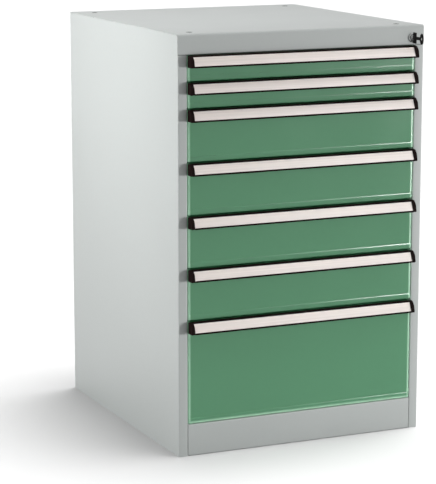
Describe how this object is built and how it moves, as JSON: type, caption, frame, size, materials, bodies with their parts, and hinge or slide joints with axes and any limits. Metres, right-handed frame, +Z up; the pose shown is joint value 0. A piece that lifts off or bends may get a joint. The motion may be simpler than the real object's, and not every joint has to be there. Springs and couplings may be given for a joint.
{
  "type": "drawer cabinet",
  "caption": "Free-standing steel drawer cabinet with graduated full-extension drawers, wide label grips, a plinth and a central key lock.",
  "frame": {"origin": "on the floor, below the middle of the bounding box, key and handles included", "axes": "+Z up; -Y is the front, towards which the drawers open; +X to the right when facing the cabinet's front from -Y"},
  "size_m": [0.515, 0.6072, 0.8],
  "materials": {
    "housing_paint": "satin light grey enamel",
    "front_paint": "satin green enamel",
    "box_paint": "matt grey enamel",
    "handle_black": "matt black moulding",
    "label_strip": "pale brushed strip",
    "zinc_steel": "zinc plated",
    "lock_nickel": "satin nickel plate",
    "key_black": "blackened steel"
  },
  "bodies": {
    "cabinet": {"left_side_panel": "housing_paint", "right_side_panel": "housing_paint", "top_panel": "housing_paint", "back_panel": "housing_paint", "plinth_panel": "housing_paint", "base_frame": "housing_paint", "left_runner_rack": "zinc_steel", "right_runner_rack": "zinc_steel", "fixing_nut_front_left": "zinc_steel", "fixing_nut_front_right": "zinc_steel", "fixing_nut_rear_left": "zinc_steel", "fixing_nut_rear_right": "zinc_steel", "lock_case": "lock_nickel", "lock_nut": "zinc_steel"},
    "drawer_1": {"drawer_1_front": "front_paint", "drawer_1_box": "box_paint", "drawer_1_handle": "handle_black", "drawer_1_strip": "label_strip"},
    "drawer_1_runners": {"drawer_1_runner_left": "zinc_steel", "drawer_1_runner_right": "zinc_steel"},
    "drawer_2": {"drawer_2_front": "front_paint", "drawer_2_box": "box_paint", "drawer_2_handle": "handle_black", "drawer_2_strip": "label_strip"},
    "drawer_2_runners": {"drawer_2_runner_left": "zinc_steel", "drawer_2_runner_right": "zinc_steel"},
    "drawer_3": {"drawer_3_front": "front_paint", "drawer_3_box": "box_paint", "drawer_3_handle": "handle_black", "drawer_3_strip": "label_strip"},
    "drawer_3_runners": {"drawer_3_runner_left": "zinc_steel", "drawer_3_runner_right": "zinc_steel"},
    "drawer_4": {"drawer_4_front": "front_paint", "drawer_4_box": "box_paint", "drawer_4_handle": "handle_black", "drawer_4_strip": "label_strip"},
    "drawer_4_runners": {"drawer_4_runner_left": "zinc_steel", "drawer_4_runner_right": "zinc_steel"},
    "drawer_5": {"drawer_5_front": "front_paint", "drawer_5_box": "box_paint", "drawer_5_handle": "handle_black", "drawer_5_strip": "label_strip"},
    "drawer_5_runners": {"drawer_5_runner_left": "zinc_steel", "drawer_5_runner_right": "zinc_steel"},
    "drawer_6": {"drawer_6_front": "front_paint", "drawer_6_box": "box_paint", "drawer_6_handle": "handle_black", "drawer_6_strip": "label_strip"},
    "drawer_6_runners": {"drawer_6_runner_left": "zinc_steel", "drawer_6_runner_right": "zinc_steel"},
    "drawer_7": {"drawer_7_front": "front_paint", "drawer_7_box": "box_paint", "drawer_7_handle": "handle_black", "drawer_7_strip": "label_strip"},
    "drawer_7_runners": {"drawer_7_runner_left": "zinc_steel", "drawer_7_runner_right": "zinc_steel"},
    "lock_plug": {"lock_plug": "zinc_steel"},
    "lock_key": {"lock_key": "key_black"},
    "locking_bar": {"locking_bar": "zinc_steel"}
  },
  "joints": [
    {"name": "drawer_1_slide", "type": "slide", "parent": "cabinet", "child": "drawer_1", "axis": [0, -1, 0], "range_m": [0, 0.5]},
    {"name": "drawer_1_runner_slide", "type": "slide", "parent": "cabinet", "child": "drawer_1_runners", "axis": [0, -1, 0], "range_m": [0, 0.25]},
    {"name": "drawer_2_slide", "type": "slide", "parent": "cabinet", "child": "drawer_2", "axis": [0, -1, 0], "range_m": [0, 0.5]},
    {"name": "drawer_2_runner_slide", "type": "slide", "parent": "cabinet", "child": "drawer_2_runners", "axis": [0, -1, 0], "range_m": [0, 0.25]},
    {"name": "drawer_3_slide", "type": "slide", "parent": "cabinet", "child": "drawer_3", "axis": [0, -1, 0], "range_m": [0, 0.5]},
    {"name": "drawer_3_runner_slide", "type": "slide", "parent": "cabinet", "child": "drawer_3_runners", "axis": [0, -1, 0], "range_m": [0, 0.25]},
    {"name": "drawer_4_slide", "type": "slide", "parent": "cabinet", "child": "drawer_4", "axis": [0, -1, 0], "range_m": [0, 0.5]},
    {"name": "drawer_4_runner_slide", "type": "slide", "parent": "cabinet", "child": "drawer_4_runners", "axis": [0, -1, 0], "range_m": [0, 0.25]},
    {"name": "drawer_5_slide", "type": "slide", "parent": "cabinet", "child": "drawer_5", "axis": [0, -1, 0], "range_m": [0, 0.5]},
    {"name": "drawer_5_runner_slide", "type": "slide", "parent": "cabinet", "child": "drawer_5_runners", "axis": [0, -1, 0], "range_m": [0, 0.25]},
    {"name": "drawer_6_slide", "type": "slide", "parent": "cabinet", "child": "drawer_6", "axis": [0, -1, 0], "range_m": [0, 0.5]},
    {"name": "drawer_6_runner_slide", "type": "slide", "parent": "cabinet", "child": "drawer_6_runners", "axis": [0, -1, 0], "range_m": [0, 0.25]},
    {"name": "drawer_7_slide", "type": "slide", "parent": "cabinet", "child": "drawer_7", "axis": [0, -1, 0], "range_m": [0, 0.5]},
    {"name": "drawer_7_runner_slide", "type": "slide", "parent": "cabinet", "child": "drawer_7_runners", "axis": [0, -1, 0], "range_m": [0, 0.25]},
    {"name": "lock_turn", "type": "hinge", "parent": "cabinet", "child": "lock_plug", "pos_m": [0.2328, -0.26135, 0.776], "axis": [0, -1, 0], "range_deg": [0, 90]},
    {"name": "locking_bar_lift", "type": "slide", "parent": "cabinet", "child": "locking_bar", "axis": [0, 0, 1], "range_m": [0, 0.00594]},
    {"name": "key_pull", "type": "slide", "parent": "lock_plug", "child": "lock_key", "axis": [0, -1, 0], "range_m": [0, 0.02]}
  ],
  "couplings": [
    {"joint": "drawer_1_runner_slide", "follows": "drawer_1_slide", "ratio": 0.5},
    {"joint": "drawer_2_runner_slide", "follows": "drawer_2_slide", "ratio": 0.5},
    {"joint": "drawer_3_runner_slide", "follows": "drawer_3_slide", "ratio": 0.5},
    {"joint": "drawer_4_runner_slide", "follows": "drawer_4_slide", "ratio": 0.5},
    {"joint": "drawer_5_runner_slide", "follows": "drawer_5_slide", "ratio": 0.5},
    {"joint": "drawer_6_runner_slide", "follows": "drawer_6_slide", "ratio": 0.5},
    {"joint": "drawer_7_runner_slide", "follows": "drawer_7_slide", "ratio": 0.5},
    {"joint": "lock_turn", "follows": "locking_bar_lift", "rad_per_m": 264.46}
  ]
}
